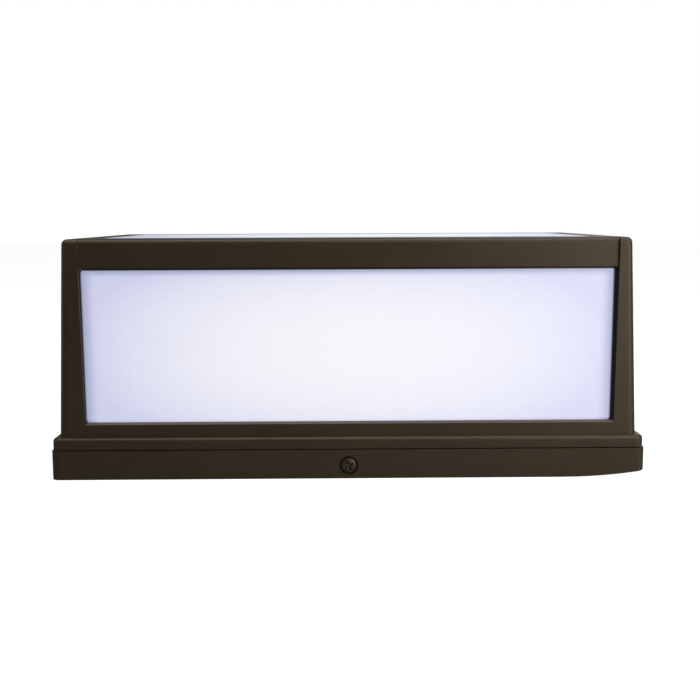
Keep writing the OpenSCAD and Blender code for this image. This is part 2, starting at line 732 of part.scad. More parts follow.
// Sheet steel clips that hold the lower lens at its top and bottom edges
module window_clips() {
    color(zinc) on_panel() for (x = [-1, 1], w = window_clip_w) {
        toward = w < window_low ? 1 : -1;
        difference() {
            translate([x * window_clip_x - clip_w / 2, lens_back + lens_t,
                toward > 0 ? w - clip_behind : w + clip_behind - clip_l])
                cube([clip_w, clip_t, clip_l]);
            rod_y(x * window_clip_x, w, clip_screw_r + screw_clear,
                lens_back, lens_back + lens_t + 2 * clip_t);
        }
    }
}
module window_clip_screws() {
    color(zinc) on_panel() for (x = [-1, 1], w = window_clip_w)
        translate([x * window_clip_x, lens_back + lens_t + clip_t, w]) rotate([-90, 0, 0])
            pan_screw(clip_screw_r, clip_t + lens_t + lens_seal, clip_head[0], clip_head[1]);
}

// Front window: an opal lens flush with the front face
module front_outline(grow, r) {
    mid = (open_near + open_far) / 2;
    half = (open_far - open_near) / 2 + grow;
    translate([0, mid]) trapezoid(open_hx + grow, open_hx + grow, -half, half, r, [r, r]);
}
module front_lens() {
    low = front_z - lens_back - lens_t;
    color(opal) difference() {
        union() {
            translate([0, 0, low]) linear_extrude(front_z - low) front_outline(-lens_gap, 3);
            translate([0, 0, low]) linear_extrude(lens_t) front_outline(lens_lap, 5);
        }
        translate([0, 0, low - bite]) linear_extrude(front_z - lens_t - low + bite)
            front_outline(-lens_gap - lens_t, 1.5);
    }
}
module front_gasket() {
    color(rubber) translate([0, 0, front_z - lens_back]) linear_extrude(lens_seal) difference() {
        front_outline(lens_lap - gasket_in, 5);
        front_outline(gasket_in, 4);
    }
}
module front_clips() {
    z = front_z - lens_back - lens_t - clip_t;
    color(zinc) for (x = [-1, 1], y = [front_clip_near, front_clip_far]) difference() {
        translate([x * front_clip_x - clip_w / 2, y < 0 ? y - clip_behind : y + clip_behind - clip_l, z])
            cube([clip_w, clip_l, clip_t]);
        translate([x * front_clip_x, y, z - bite]) cylinder(r = clip_screw_r + screw_clear, h = 2 * clip_t);
    }
}
module front_clip_screws() {
    color(zinc) for (x = [-1, 1], y = [front_clip_near, front_clip_far])
        translate([x * front_clip_x, y, front_z - lens_back - lens_t - clip_t]) rotate([180, 0, 0])
            pan_screw(clip_screw_r, clip_t + lens_t + lens_seal, clip_head[0], clip_head[1]);
}

// Gear tray: a white sheet that carries the driver below and the light sources above
module gear_tray() {
    color(white_paint) difference() {
        union() {
            block([-gear_hx, gear_near, gear_z], [gear_hx, gear_far, gear_top]);
            for (y = [gear_near, gear_far - gear_t])
                block([-gear_lip_end, y, gear_z - gear_lip], [gear_lip_end, y + gear_t, gear_top]);
        }
        for (x = [-1, 1], y = [-1, 1]) translate([x * gear_boss_x, y * gear_boss_y, gear_z - bite])
            cylinder(r = tray_screw_r + screw_clear, h = 4);
        translate([grommet_at[0], grommet_at[1], gear_z - bite]) cylinder(r = grommet_r, h = 4);
        for (s = [-1, 1]) translate([s * driver_screw_x, -driver_y, gear_z - bite])
            cylinder(r = clip_screw_r + thread_clear, h = 4);
        for (y = board_y, s = [-1, 1]) translate([s * board_screw_x, y, gear_z - bite])
            cylinder(r = board_screw_r + thread_clear, h = 4);
    }
}
module gear_tray_screws() {
    color(zinc) for (x = [-1, 1], y = [-1, 1]) translate([x * gear_boss_x, y * gear_boss_y, gear_z])
        rotate([180, 0, 0]) pan_screw(tray_screw_r, gear_boss_h - 4, tray_head[0], tray_head[1]);
}

// White reflector sheet round three sides of the light sources
module reflector() {
    t = reflector_t;
    color(white_paint) {
        for (s = [-1, 1]) {
            x0 = s > 0 ? reflector_hx - t : -reflector_hx;
            block([x0, reflector_near, gear_top], [x0 + t, reflector_far, reflector_top]);
            f0 = s > 0 ? reflector_hx - reflector_foot : -reflector_hx;
            block([f0, reflector_near, gear_top], [f0 + reflector_foot, reflector_far, gear_top + t]);
        }
        block([-reflector_hx, reflector_far - t, gear_top], [reflector_hx, reflector_far, reflector_top]);
    }
}

// Light source boards, evenly spaced on the gear tray
board_y = [for (i = [0:board_count - 1]) (i - (board_count - 1) / 2) * board_pitch];
module led_boards() {
    color([0.95, 0.95, 0.93]) for (y = board_y) difference() {
        block([-board_l / 2, y - board_w / 2, gear_top], [board_l / 2, y + board_w / 2, board_z]);
        for (s = [-1, 1]) translate([s * board_screw_x, y, gear_top - bite])
            cylinder(r = board_screw_r + screw_clear, h = board_t + 2 * bite);
    }
}
module led_chips() {
    span = 2 * (connector_x - chip_end);
    color([0.95, 0.85, 0.35]) for (y = board_y, i = [0:chip_count - 1])
        translate([-span / 2 + span * i / (chip_count - 1), y, board_z + chip_h / 2])
            cube([chip_w, chip_w, chip_h], center = true);
}
module led_board_screws() {
    color(zinc) for (y = board_y, s = [-1, 1]) translate([s * board_screw_x, y, board_z])
        pan_screw(board_screw_r, board_t + gear_t + 1, board_head[0], board_head[1]);
}
module board_connectors() {
    color(white_paint) for (y = board_y) difference() {
        block([connector_x - connector[0] / 2, y - connector[1] / 2, board_z],
            [connector_x + connector[0] / 2, y + connector[1] / 2, board_z + connector[2]]);
        for (s = [-1, 1]) rod_y(connector_x + s * lead_apart / 2, board_z + connector[2] / 2,
            lead_r + 0.1, y - connector[1], y + connector[1]);
    }
}

// Short leads from board to board
module jumper_leads() {
    color([0.75, 0.1, 0.08]) for (i = [0:board_count - 2], s = [-1, 1]) {
        y0 = board_y[i] + 1;
        y1 = board_y[i + 1] - 1;
        x = connector_x + s * lead_apart / 2;
        z = board_z + connector[2] / 2;
        bow = s * 3;
        lead([[x, y0, z], [x, y0 + lead_bend, z], [x + bow, (y0 + y1) / 2, z], [x, y1 - lead_bend, z],
            [x, y1, z]], lead_r, [0, 0, 1]);
    }
}

// Leads from the driver, up through the gear tray and into the first board's connector
module led_leads() {
    low = gear_z - lead_bend;
    high = board_z + connector[2] / 2;
    cap_x = driver_l / 2 + cap_l;
    color([0.75, 0.1, 0.08]) for (s = [-1, 1]) {
        y0 = -driver_y + s * 3;
        x = connector_x + s * lead_apart / 2;
        y = grommet_at[1];
        lead([[cap_x, y0, low], [x - lead_bend, y0, low], [x, y0 - lead_bend, low],
            [x, y + lead_bend - 3, low], [x, y, low + 3], [x, y, gear_top + 1], [x, y + 2, high + 3],
            [x, y + lead_bend, high + 1], [x, board_y[0] - 1, high]], lead_r, [1, 1, -1]);
    }
}
module lead_grommet() {
    color(rubber) translate([grommet_at[0], grommet_at[1], 0]) difference() {
        union() {
            for (z = [gear_z - grommet_rim_t, gear_top]) translate([0, 0, z])
                cylinder(r = grommet_r + grommet_rim, h = grommet_rim_t);
            translate([0, 0, gear_z - bite]) cylinder(r = grommet_r, h = gear_t + 2 * bite);
        }
        translate([0, 0, gear_z - 3]) cylinder(r = grommet_bore, h = 8);
    }
}

// Driver: an extruded case with mounting ears, hung under the gear tray
module driver_outline() {
    trapezoid(driver_w / 2, driver_w / 2, 0, driver_h, driver_corner, [driver_corner, driver_corner]);
}
module driver_case() {
    color([0.78, 0.78, 0.8]) translate([-driver_l / 2, -driver_y, driver_z]) rotate([90, 0, 90])
        linear_extrude(driver_l) difference() {
            driver_outline();
            for (i = [-4:4]) translate([i * driver_w / 10 - 0.6, -0.01]) square([1.2, 0.8]);
            translate([0, driver_h / 2])
                square([driver_w - 2 * driver_skin, driver_h - 2 * driver_skin], center = true);
        }
}
module driver_end_caps() {
    color([0.12, 0.12, 0.13]) for (s = [-1, 1]) {
        x0 = s > 0 ? driver_l / 2 : -driver_l / 2 - cap_l;
        difference() {
            union() {
                translate([x0, -driver_y, driver_z]) rotate([90, 0, 90]) linear_extrude(cap_l)
                    driver_outline();
                block([s > 0 ? x0 + cap_l : x0 - ear_l, -driver_y - ear_w / 2, gear_z - ear_t],
                    [s > 0 ? x0 + cap_l + ear_l : x0, -driver_y + ear_w / 2, gear_z]);
            }
            translate([s * driver_screw_x, -driver_y, gear_z - 2 * ear_t])
                cylinder(r = clip_screw_r + screw_clear, h = 3 * ear_t);
        }
    }
}
module driver_screws() {
    color(zinc) for (s = [-1, 1]) translate([s * driver_screw_x, -driver_y, gear_z - ear_t])
        rotate([180, 0, 0]) pan_screw(clip_screw_r, ear_t + gear_t, clip_head[0], clip_head[1]);
}

// Supply leads, laid in the wiring space above the wire entry
function supply_route(i) = [
    [lead_start, -driver_y + 5 * i, lead_z], [lead_start - 14, -driver_y + 5 * i, lead_z],
    [lead_start - 30 + 4 * i, -20, lead_z], [lead_start - 24 + 4 * i, 34 - 2 * i, lead_z],
    [lead_start + 6, 58 - 8 * i, lead_z], [-40, 50 - 9 * i, lead_z], [-14, 26 - 9 * i, lead_z]];
module supply_lead(i) { lead(supply_route(i), lead_r, [0, 0, 1]); }
module line_lead() { color([0.06, 0.06, 0.06]) supply_lead(1); }
module neutral_lead() { color([0.93, 0.93, 0.93]) supply_lead(0); }
module ground_lead() { color([0.1, 0.5, 0.2]) supply_lead(-1); }
module lead_tips() {
    color([0.8, 0.5, 0.3]) for (i = [-1:1]) {
        route = supply_route(i);
        last = len(route) - 1;
        way = unit(route[last] - route[last - 1]);
        translate(route[last]) rotate([0, 90, atan2(way[1], way[0])]) cylinder(r = lead_r * 0.6, h = tip_l);
    }
}

back_box();
wall_gasket();
wire_bushing();
seam_gasket();
hinge_pins();
ground_screw();
screw_seal();
captive_screw();
clamp_nut();
front_housing();
window_lens();
window_gasket();
window_clips();
window_clip_screws();
front_lens();
front_gasket();
front_clips();
front_clip_screws();
gear_tray();
gear_tray_screws();
reflector();
led_boards();
led_chips();
led_board_screws();
board_connectors();
jumper_leads();
led_leads();
lead_grommet();
driver_case();
driver_end_caps();
driver_screws();
line_lead();
neutral_lead();
ground_lead();
lead_tips();
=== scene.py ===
import math

import bmesh
import bpy
from mathutils import Matrix, Vector


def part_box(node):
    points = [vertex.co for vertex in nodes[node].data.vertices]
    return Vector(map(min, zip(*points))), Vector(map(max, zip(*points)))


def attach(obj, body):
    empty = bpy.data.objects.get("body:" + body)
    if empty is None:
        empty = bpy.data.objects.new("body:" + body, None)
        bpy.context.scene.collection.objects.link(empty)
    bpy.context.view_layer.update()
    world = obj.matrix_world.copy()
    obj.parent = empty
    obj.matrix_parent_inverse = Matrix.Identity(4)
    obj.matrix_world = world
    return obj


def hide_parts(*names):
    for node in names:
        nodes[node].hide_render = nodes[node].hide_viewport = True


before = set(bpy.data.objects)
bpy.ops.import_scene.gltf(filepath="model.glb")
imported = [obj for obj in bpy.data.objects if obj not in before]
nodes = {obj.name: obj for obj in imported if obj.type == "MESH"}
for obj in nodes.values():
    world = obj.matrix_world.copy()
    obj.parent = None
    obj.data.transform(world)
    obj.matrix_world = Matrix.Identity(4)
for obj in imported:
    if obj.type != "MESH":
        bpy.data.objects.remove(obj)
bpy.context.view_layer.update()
scene = bpy.context.scene
mm = 0.001
print("frame loaded,", len(nodes), "nodes")


# Working on one piece at a time
def onlyPiece(piece):
    if bpy.context.object and bpy.context.object.mode == "EDIT":
        bpy.ops.object.mode_set(mode="OBJECT")
    bpy.ops.object.select_all(action="DESELECT")
    piece.select_set(True)
    bpy.context.view_layer.objects.active = piece


def editPiece(piece, kind="FACE"):
    onlyPiece(piece)
    bpy.ops.object.mode_set(mode="EDIT")
    bpy.ops.mesh.select_mode(type=kind)
    bpy.ops.mesh.select_all(action="DESELECT")


def doneEditing():
    bpy.ops.object.mode_set(mode="OBJECT")


# Selects the faces of the piece being edited that point up, or down when the way is -1
def pickFlat(way):
    bpy.ops.mesh.select_all(action="DESELECT")
    mesh = bmesh.from_edit_mesh(bpy.context.object.data)
    for face in mesh.faces:
        if face.normal.z * way > 0.9:
            face.select_set(True)
    bmesh.update_edit_mesh(bpy.context.object.data)


def applyModifiers(piece):
    onlyPiece(piece)
    for name in [modifier.name for modifier in piece.modifiers]:
        bpy.ops.object.modifier_apply(modifier=name)


def placeInMesh(piece):
    onlyPiece(piece)
    bpy.ops.object.transform_apply(location=True, rotation=True, scale=True)


def joinPieces(pieces, name):
    onlyPiece(pieces[0])
    for piece in pieces[1:]:
        piece.select_set(True)
    if len(pieces) > 1:
        bpy.ops.object.join()
    whole = bpy.context.object
    whole.name = whole.data.name = name
    return whole


def removePiece(piece):
    bpy.data.objects.remove(piece, do_unlink=True)


def cutAway(piece, cutter):
    cut = piece.modifiers.new("cut", "BOOLEAN")
    cut.operation = "DIFFERENCE"
    cut.solver = "EXACT"
    cut.object = cutter
    applyModifiers(piece)
    removePiece(cutter)


# A merged copy of a CAD node, ready for its edges to be worked
def castCopy(node, name, looks, inQuads=False):
    piece = bpy.data.objects.new(name, nodes[node].data.copy())
    piece.data.name = name
    scene.collection.objects.link(piece)
    piece.data.materials.clear()
    for look in looks:
        piece.data.materials.append(look)
    onlyPiece(piece)
    bpy.ops.mesh.customdata_custom_splitnormals_clear()
    bpy.ops.object.mode_set(mode="EDIT")
    bpy.ops.mesh.select_all(action="SELECT")
    bpy.ops.mesh.remove_doubles(threshold=0.005 * mm)
    if inQuads:
        bpy.ops.mesh.tris_convert_to_quads(face_threshold=math.radians(1), shape_threshold=math.pi)
    else:
        bpy.ops.mesh.dissolve_limited(angle_limit=math.radians(0.5))
    doneEditing()
    return piece


# Rounds every edge sharper than the angle, in a look of its own where one is given
def softenEdges(piece, width, steps=3, angle=35, edgeLook=-1):
    bevel = piece.modifiers.new("edge radius", "BEVEL")
    bevel.width = width * mm
    bevel.segments = steps
    bevel.limit_method = "ANGLE"
    bevel.angle_limit = math.radians(angle)
    bevel.material = edgeLook
    applyModifiers(piece)


def smoothShade(piece, angle=40):
    onlyPiece(piece)
    bpy.ops.object.shade_smooth_by_angle(angle=math.radians(angle))
    weights = piece.modifiers.new("face weights", "WEIGHTED_NORMAL")
    weights.keep_sharp = True
    applyModifiers(piece)


def finishPiece(piece, body, slot, *cadNodes):
    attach(piece, body)
    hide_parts(*cadNodes)


# Node trees: an input is a plain value, or a node with the name of its output
def join(tree, source, socket):
    tree.links.new(source[0].outputs[source[1]], socket)


def isNode(value):
    return isinstance(value, tuple) and hasattr(value[0], "outputs")


def fillInputs(tree, made, inputs):
    for name, value in inputs.items():
        if isNode(value):
            join(tree, value, made.inputs[name])
        else:
            made.inputs[name].default_value = value


def addNode(tree, kind, inputs=None, **settings):
    made = tree.nodes.new(kind)
    for setting, value in settings.items():
        setattr(made, setting, value)
    fillInputs(tree, made, inputs or {})
    return made


def groupNode(tree, group, inputs):
    made = tree.nodes.new("ShaderNodeGroup")
    made.node_tree = group
    fillInputs(tree, made, inputs)
    return made


def reckon(tree, work, *values, **settings):
    return addNode(tree, "ShaderNodeMath", dict(enumerate(values)), operation=work, **settings), "Value"


def rescale(tree, value, start, end, low=0.0, high=1.0, **settings):
    made = addNode(tree, "ShaderNodeMapRange", {
        "Value": value, "From Min": start, "From Max": end, "To Min": low, "To Max": high}, **settings)
    return made, "Result"


def blendColours(tree, share, first, second):
    first, second = (colour if isNode(colour) else (*colour, 1.0) for colour in (first, second))
    return addNode(tree, "ShaderNodeMix", {"Factor": share, 6: first, 7: second}, data_type="RGBA"), 2


def newGroup(name, inputs, outputs):
    group = bpy.data.node_groups.new(name, "ShaderNodeTree")
    for label, kind, value in inputs:
        socket = group.interface.new_socket(name=label, in_out="INPUT", socket_type="NodeSocket" + kind)
        if value is not None:
            socket.default_value = value
    for label, kind in outputs:
        group.interface.new_socket(name=label, in_out="OUTPUT", socket_type="NodeSocket" + kind)
    return group, group.nodes.new("NodeGroupInput"), group.nodes.new("NodeGroupOutput")


# Fine grain of a coat or a moulded skin: small bumps over slow waves, its tone from broad clouds
grainShape = {"slow": 0.16, "broad": 0.02, "broadShare": 0.65, "toneFrom": 0.55, "toneTo": 1.1}


def makeGrainGroup():
    group, enter, leave = newGroup(
        "surface grain",
        [("Vector", "Vector", None), ("Grains per metre", "Float", 1400.0), ("Waves", "Float", 0.35)],
        [("Height", "Float"), ("Tone", "Float")])
    vector, grains = (enter, "Vector"), (enter, "Grains per metre")
    slowScale = reckon(group, "MULTIPLY", grains, grainShape["slow"])
    broadScale = reckon(group, "MULTIPLY", grains, grainShape["broad"])
    fine = addNode(group, "ShaderNodeTexNoise", {
        "Vector": vector, "Scale": grains, "Detail": 2.0, "Roughness": 0.55}), "Fac"
    slow = addNode(group, "ShaderNodeTexNoise", {"Vector": vector, "Scale": slowScale, "Detail": 1.0}), "Fac"
    broad = addNode(group, "ShaderNodeTexNoise", {
        "Vector": vector, "Scale": broadScale, "Detail": 3.0}), "Fac"
    height = reckon(group, "MULTIPLY_ADD", slow, (enter, "Waves"), fine)
    tone = reckon(group, "MULTIPLY_ADD", broad, grainShape["broadShare"], fine)
    join(group, height, leave.inputs["Height"])
    join(group, rescale(group, tone, grainShape["toneFrom"], grainShape["toneTo"]), leave.inputs["Tone"])
    return group


# Patches where hands, dust and weather have changed the gloss
def makePatchGroup():
    group, enter, leave = newGroup(
        "gloss patches",
        [("Vector", "Vector", None), ("Patches per metre", "Float", 22.0),
         ("Smooth", "Float", 0.36), ("Dull", "Float", 0.48)],
        [("Roughness", "Float")])
    cloud = addNode(group, "ShaderNodeTexNoise", {
        "Vector": (enter, "Vector"), "Scale": (enter, "Patches per metre"), "Detail": 5.0, "Roughness": 0.6,
        "Distortion": 0.4})
    gloss = rescale(group, (cloud, "Fac"), 0.3, 0.7, (enter, "Smooth"), (enter, "Dull"))
    join(group, gloss, leave.inputs["Roughness"])
    return group


# Fine parallel lines of rolled, drawn or ground metal: the vector comes in stretched
def makeLinesGroup():
    group, enter, leave = newGroup(
        "metal lines", [("Vector", "Vector", None), ("Lines per metre", "Float", 3000.0)],
        [("Height", "Float"), ("Tone", "Float")])
    lines = addNode(group, "ShaderNodeTexNoise", {
        "Vector": (enter, "Vector"), "Scale": (enter, "Lines per metre"), "Detail": 3.0,
        "Roughness": 0.7}), "Fac"
    join(group, lines, leave.inputs["Height"])
    join(group, rescale(group, lines, 0.35, 0.65), leave.inputs["Tone"])
    return group


# How much light reaches each place of an opal lens: the vector runs from -1 to 1 across its face
glowShape = {"fall": 2.4, "upShare": 0.55}


def makeGlowGroup():
    group, enter, leave = newGroup(
        "lens glow",
        [("Vector", "Vector", None), ("Side border", "Float", 0.06), ("Edge border", "Float", 0.1),
         ("Wall", "Float", 0.002)],
        [("Glow", "Float"), ("Border", "Float"), ("Face", "Float")])
    split = addNode(group, "ShaderNodeSeparateXYZ", {"Vector": (enter, "Vector")})
    fades, faces, falls = [], [], []
    for axis, border in (("X", "Side border"), ("Y", "Edge border")):
        away = reckon(group, "ABSOLUTE", (split, axis))
        inward = reckon(group, "SUBTRACT", 1.0, away)
        fades.append(rescale(group, inward, 0.0, (enter, border), interpolation_type="SMOOTHSTEP"))
        faces.append(rescale(group, inward, 0.0, (enter, "Wall")))
        falls.append(reckon(group, "POWER", away, glowShape["fall"]))
    lost = reckon(group, "MULTIPLY_ADD", falls[1], glowShape["upShare"], falls[0])
    join(group, reckon(group, "SUBTRACT", 1.0, lost, use_clamp=True), leave.inputs["Glow"])
    join(group, reckon(group, "MULTIPLY", *fades), leave.inputs["Border"])
    join(group, reckon(group, "MULTIPLY", *faces), leave.inputs["Face"])
    return group


grainGroup = makeGrainGroup()
patchGroup = makePatchGroup()
linesGroup = makeLinesGroup()
glowGroup = makeGlowGroup()


def newMaterial(name):
    material = bpy.data.materials.new(name)
    material.use_nodes = True
    tree = material.node_tree
    return material, tree, tree.nodes["Principled BSDF"], addNode(tree, "ShaderNodeTexCoord")


def setPlain(shader, values):
    for name, value in values.items():
        shader.inputs[name].default_value = value


def addGloss(tree, shader, place, patches, gloss):
    wear = groupNode(tree, patchGroup, {
        "Vector": (place, "Object"), "Patches per metre": patches, "Smooth": gloss[0], "Dull": gloss[1]})
    join(tree, (wear, "Roughness"), shader.inputs["Roughness"])


def addRelief(tree, shader, height, strength, depth):
    relief = addNode(tree, "ShaderNodeBump", {
        "Height": height, "Strength": strength, "Distance": depth * mm})
    join(tree, (relief, "Normal"), shader.inputs["Normal"])


# A coat, moulding or metal: two tones, gloss patches, grain or lines as bump
finishShape = {"waves": 0.35, "patches": 22.0, "relief": 0.6}


def makeFinish(name, tones, gloss, grains, bump=0.02, stretch=None, plain=None):
    material, tree, shader, place = newMaterial(name)
    vector = (place, "Object")
    if stretch:
        vector = (addNode(tree, "ShaderNodeMapping", {"Vector": vector, "Scale": stretch}), "Vector")
        surface = groupNode(tree, linesGroup, {"Vector": vector, "Lines per metre": grains})
    else:
        surface = groupNode(tree, grainGroup, {
            "Vector": vector, "Grains per metre": grains, "Waves": finishShape["waves"]})
    join(tree, blendColours(tree, (surface, "Tone"), *tones), shader.inputs["Base Color"])
    addGloss(tree, shader, place, finishShape["patches"], gloss)
    addRelief(tree, shader, (surface, "Height"), finishShape["relief"], bump)
    setPlain(shader, plain or {})
    return material


# Foam: closed cells, seen as small pits
def makeFoam(name, tones, cells):
    material, tree, shader, place = newMaterial(name)
    cell = addNode(tree, "ShaderNodeTexVoronoi", {"Vector": (place, "Object"), "Scale": cells}), "Distance"
    join(tree, blendColours(tree, cell, *tones), shader.inputs["Base Color"])
    addRelief(tree, shader, cell, strength=0.8, depth=0.3)
    setPlain(shader, {"Roughness": 0.9})
    return material


# Opal plastic with painted glow standing in for the light behind it: brightest in the middle, a painted
# bluer border, painted shade on its side walls; its grey body leaves the brightness to the glow
opalBody = {"tones": ((0.31, 0.315, 0.33), (0.34, 0.345, 0.36)), "gloss": (0.28, 0.42), "patches": 15.0,
            "haze": 260.0, "waves": 0.5, "relief": 0.25, "bump": 0.02, "wallFade": 0.35}


def makeLens(name, middle, half, lens):
    material, tree, shader, place = newMaterial(name)
    up = lens["up"]  # the axis that runs up the lens, 1 for Y and 2 for Z
    split = addNode(tree, "ShaderNodeSeparateXYZ", {"Vector": (place, "Object")})
    upward, taper = (split, "XYZ"[up]), lens["taper"] * mm
    reach = rescale(
        tree, upward, middle[up] - half[up], middle[up] + half[up], half[0] - taper, half[0] + taper)
    across = reckon(tree, "DIVIDE", reckon(tree, "SUBTRACT", (split, "X"), middle[0]), reach)
    flat = addNode(tree, "ShaderNodeCombineXYZ", {"X": across, "Y": upward})
    spread = addNode(tree, "ShaderNodeMapping", {
        "Vector": (flat, "Vector"), "Location": (0.0, -middle[up] / half[up], 0.0),
        "Scale": (1.0, 1 / half[up], 1.0)})
    glow = groupNode(tree, glowGroup, {
        "Vector": (spread, "Vector"), "Side border": lens["sideBorder"] * mm / half[0],
        "Edge border": lens["edgeBorder"] * mm / half[up], "Wall": opalBody["wallFade"] * mm / half[up]})
    face = blendColours(tree, (glow, "Glow"), lens["near"], lens["centre"])
    rimmed = blendColours(tree, (glow, "Border"), lens["rim"], face)
    lit = blendColours(tree, (glow, "Face"), lens["wall"], rimmed)
    join(tree, lit, shader.inputs["Emission Color"])
    haze = groupNode(tree, grainGroup, {
        "Vector": (place, "Object"), "Grains per metre": opalBody["haze"], "Waves": opalBody["waves"]})
    body = blendColours(tree, (haze, "Tone"), *opalBody["tones"])
    join(tree, blendColours(tree, (glow, "Face"), lens["paintedWallShade"], body), shader.inputs["Base Color"])
    addGloss(tree, shader, place, opalBody["patches"], opalBody["gloss"])
    addRelief(tree, shader, (haze, "Height"), opalBody["relief"], opalBody["bump"])
    setPlain(shader, {"Emission Strength": lens["strength"], "IOR": 1.49, "Specular IOR Level": 0.4})
    return material


# Finishes: name, two tones, the gloss from smooth to dull, then what differs from the usual
bronzeCoat = makeFinish(
    "bronze coat", ((0.050, 0.0352, 0.0192), (0.062, 0.0438, 0.0238)), (0.36, 0.44),
    grains=1500.0, bump=0.03, plain={"Specular IOR Level": 0.3, "Metallic": 0.3})
# Edge coat: powder coat does thin on sharp edges, but this tone is lightened further as a painted highlight
# along bevels and the sill
thinCoatAndHighlight = makeFinish(
    "bronze coat, thin on edges, lightened as painted highlight", ((0.058, 0.0415, 0.0225), (0.074, 0.053, 0.029)), (0.32, 0.40),
    grains=1500.0, bump=0.015, plain={"Specular IOR Level": 0.4, "Metallic": 0.3})
screwCoat = makeFinish(
    "bronze screw coat", ((0.050, 0.0352, 0.0188), (0.066, 0.047, 0.025)), (0.38, 0.46),
    grains=2600.0, bump=0.01, plain={"Specular IOR Level": 0.3, "Metallic": 0.3})
wornCoat = makeFinish(
    "worn screw coat", ((0.16, 0.135, 0.10), (0.30, 0.26, 0.21)), (0.26, 0.36),
    grains=2600.0, bump=0.01, plain={"Metallic": 0.8})
siliconeLook = makeFinish(
    "silicone", ((0.012, 0.012, 0.012), (0.022, 0.022, 0.022)), (0.45, 0.62), grains=900.0)
rubberLook = makeFinish(
    "rubber", ((0.014, 0.014, 0.014), (0.028, 0.027, 0.026)), (0.6, 0.78), grains=1200.0, bump=0.05)
foamLook = makeFoam("closed cell foam", ((0.05, 0.05, 0.052), (0.02, 0.02, 0.02)), 1300.0)
stainlessLook = makeFinish(
    "ground stainless", ((0.52, 0.52, 0.53), (0.66, 0.66, 0.67)), (0.2, 0.32),
    grains=2600.0, stretch=(1.0, 0.08, 0.08), bump=0.01, plain={"Metallic": 1.0})
zincLook = makeFinish(
    "zinc plate", ((0.5, 0.52, 0.56), (0.68, 0.70, 0.73)), (0.28, 0.42),
    grains=700.0, bump=0.015, plain={"Metallic": 1.0})
greenLook = makeFinish(
    "green screw", ((0.015, 0.2, 0.05), (0.03, 0.3, 0.08)), (0.3, 0.4),
    grains=1800.0, bump=0.01, plain={"Metallic": 0.5})
enamelLook = makeFinish(
    "white enamel", ((0.76, 0.76, 0.745), (0.84, 0.84, 0.825)), (0.3, 0.42), grains=700.0, bump=0.03)
boardLook = makeFinish(
    "white board mask", ((0.76, 0.76, 0.75), (0.83, 0.83, 0.82)), (0.26, 0.36), grains=2400.0, bump=0.01)
packageLook = makeFinish(
    "white package", ((0.78, 0.78, 0.76), (0.86, 0.86, 0.84)), (0.35, 0.5), grains=3000.0, bump=0.01)
phosphorLook = makeFinish(
    "phosphor", ((0.72, 0.52, 0.1), (0.86, 0.68, 0.18)), (0.4, 0.55), grains=5000.0, bump=0.02)
nylonLook = makeFinish(
    "white nylon", ((0.74, 0.73, 0.69), (0.82, 0.81, 0.77)), (0.42, 0.55), grains=1600.0, bump=0.015)
redLook = makeFinish(
    "red insulation", ((0.42, 0.02, 0.015), (0.55, 0.035, 0.025)), (0.36, 0.48), grains=1000.0)
blackLook = makeFinish(
    "black insulation", ((0.01, 0.01, 0.01), (0.02, 0.02, 0.02)), (0.36, 0.48), grains=1000.0)
whiteLook = makeFinish(
    "white insulation", ((0.72, 0.72, 0.70), (0.82, 0.82, 0.80)), (0.36, 0.48), grains=1000.0)
greenLeadLook = makeFinish(
    "green insulation", ((0.012, 0.2, 0.05), (0.02, 0.28, 0.07)), (0.36, 0.48), grains=1000.0)
copperLook = makeFinish(
    "tinned strand", ((0.6, 0.46, 0.34), (0.74, 0.62, 0.5)), (0.25, 0.4),
    grains=3000.0, bump=0.01, plain={"Metallic": 1.0})
solderLook = makeFinish(
    "solder", ((0.6, 0.6, 0.6), (0.75, 0.75, 0.74)), (0.25, 0.4),
    grains=2000.0, bump=0.02, plain={"Metallic": 1.0})
aluminiumLook = makeFinish(
    "extruded aluminium", ((0.6, 0.6, 0.62), (0.74, 0.74, 0.76)), (0.32, 0.46),
    grains=2600.0, stretch=(0.03, 1.0, 1.0), bump=0.02, plain={"Metallic": 1.0})
plasticLook = makeFinish(
    "black plastic", ((0.014, 0.014, 0.015), (0.026, 0.026, 0.028)), (0.42, 0.56), grains=1500.0, bump=0.03)
print("finishes made,", len(bpy.data.materials))


# Camera at the photo's viewing angle
cameraView = {"place": (-5.08, -710.2, 156.74), "yaw": 0.579, "pitch": 7.367, "roll": 0.245, "lens": 52.585}


def makeCamera():
    bpy.ops.object.camera_add()
    camera = bpy.context.object
    camera.name = "photo camera"
    camera.matrix_world = (
        Matrix.Translation(Vector(cameraView["place"]) * mm)
        @ Matrix.Rotation(math.radians(-cameraView["yaw"]), 4, "Z")
        @ Matrix.Rotation(math.radians(90 - cameraView["pitch"]), 4, "X")
        @ Matrix.Rotation(math.radians(-cameraView["roll"]), 4, "Z"))
    camera.data.lens = cameraView["lens"]
    camera.data.sensor_width = 36
    camera.data.clip_start = 0.01
    scene.camera = camera


makeCamera()
print("camera placed")

# Front housing: one casting with its flange, posts and both window openings
frontFrame = {"edge": 0.4, "steps": 3, "lean": 3.0, "sillFrom": -159.6, "sillTo": 161.5,
              "sillAt": (-99.14, 33.9), "sillCut": 1.3}


